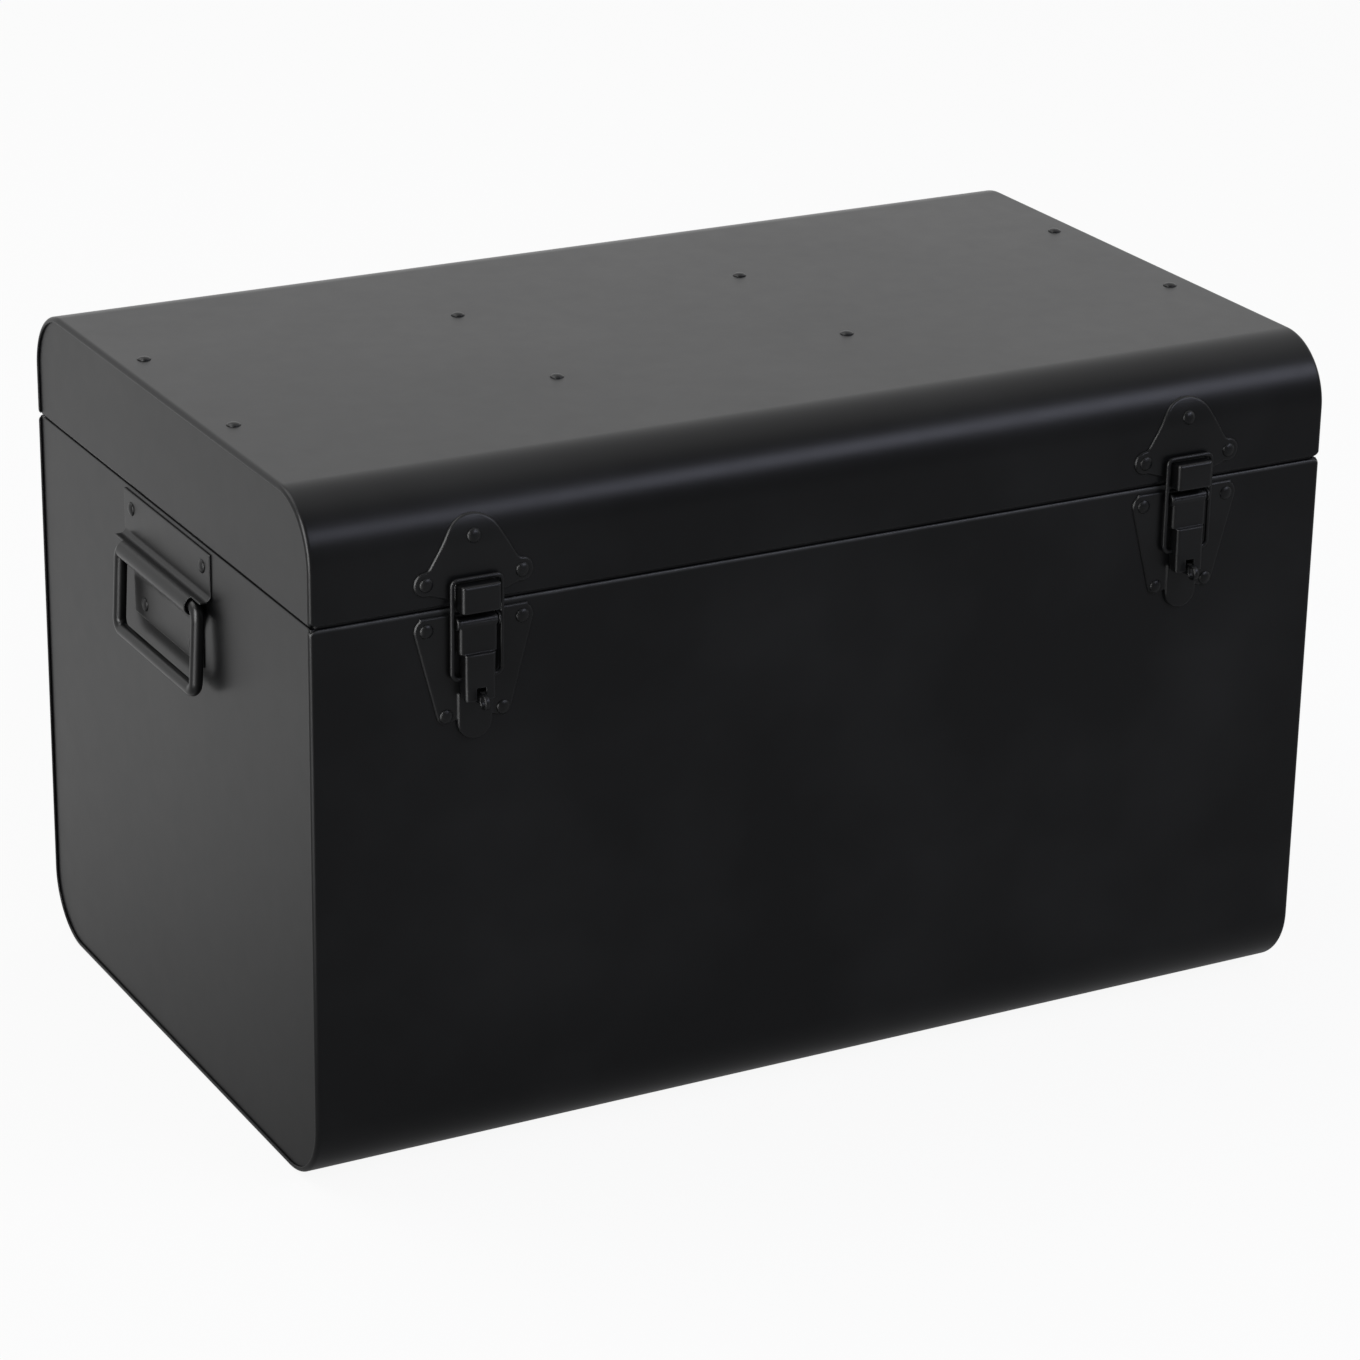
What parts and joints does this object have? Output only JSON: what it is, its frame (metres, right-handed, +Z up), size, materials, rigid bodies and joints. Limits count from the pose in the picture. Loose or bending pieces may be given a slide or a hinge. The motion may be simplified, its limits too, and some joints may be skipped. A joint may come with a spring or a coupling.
{
  "type": "small tin trunk",
  "caption": "Small sheet-steel trunk with a round-edged hinged lid, two toggle latches with padlock eyes and a drop handle on each end.",
  "frame": {"origin": "middle of the flat underside", "axes": "+X along the front to the right, the front and its latches face -Y, +Z up"},
  "size_m": [0.5172, 0.3312, 0.3133],
  "materials": {
    "shell": "satin black powder coat",
    "fittings": "satin black enamel on pressed steel",
    "wire": "satin black enamel on bent steel wire and pins",
    "rivets": "satin black enamel on domed heads"
  },
  "bodies": {
    "trunk": {"body_wrap": "shell", "body_end_left": "shell", "body_end_right": "shell", "rim_strip": "shell", "latch_base_left": "fittings", "latch_base_right": "fittings", "latch_pin_left": "wire", "latch_pin_right": "wire", "latch_base_rivets": "rivets", "handle_strap_left": "fittings", "handle_strap_right": "fittings", "handle_rivets": "rivets", "hinge_body_leaf_left": "fittings", "hinge_body_leaf_right": "fittings", "hinge_pin_left": "wire", "hinge_pin_right": "wire", "hinge_body_rivets": "rivets"},
    "lid": {"lid_wrap": "shell", "lid_end_left": "shell", "lid_end_right": "shell", "lid_rib_left": "shell", "lid_rib_right": "shell", "lid_end_rivets": "rivets", "lid_rib_rivets": "rivets", "latch_keeper_left": "fittings", "latch_keeper_right": "fittings", "latch_keeper_rivets": "rivets", "hinge_lid_leaf_left": "fittings", "hinge_lid_leaf_right": "fittings", "hinge_lid_rivets": "rivets"},
    "lever_left": {"latch_lever_left": "fittings"},
    "loop_left": {"latch_loop_left": "wire"},
    "bail_left": {"handle_bail_left": "wire"},
    "lever_right": {"latch_lever_right": "fittings"},
    "loop_right": {"latch_loop_right": "wire"},
    "bail_right": {"handle_bail_right": "wire"}
  },
  "joints": [
    {"name": "lid_hinge", "type": "hinge", "parent": "trunk", "child": "lid", "pos_m": [0, 0.1572, 0.2586], "axis": [-1, 0, 0], "range_deg": [0, 105]},
    {"name": "latch_lever_left", "type": "hinge", "parent": "trunk", "child": "lever_left", "pos_m": [-0.1762, -0.1576, 0.2517], "axis": [-1, 0, 0], "range_deg": [0, 115]},
    {"name": "latch_loop_left", "type": "hinge", "parent": "lever_left", "child": "loop_left", "pos_m": [-0.1762, -0.1573, 0.227], "axis": [-1, 0, 0], "range_deg": [-138, 0]},
    {"name": "handle_bail_left", "type": "hinge", "parent": "trunk", "child": "bail_left", "pos_m": [-0.2536, 0, 0.2305], "axis": [0, 1, 0], "range_deg": [-3, 87]},
    {"name": "latch_lever_right", "type": "hinge", "parent": "trunk", "child": "lever_right", "pos_m": [0.1762, -0.1576, 0.2517], "axis": [-1, 0, 0], "range_deg": [0, 115]},
    {"name": "latch_loop_right", "type": "hinge", "parent": "lever_right", "child": "loop_right", "pos_m": [0.1762, -0.1573, 0.227], "axis": [-1, 0, 0], "range_deg": [-138, 0]},
    {"name": "handle_bail_right", "type": "hinge", "parent": "trunk", "child": "bail_right", "pos_m": [0.2536, 0, 0.2305], "axis": [0, -1, 0], "range_deg": [-3, 87]}
  ],
  "couplings": [
    {"joint": "latch_loop_left", "follows": "latch_lever_left", "ratio": -1.2},
    {"joint": "latch_loop_right", "follows": "latch_lever_right", "ratio": -1.2}
  ]
}
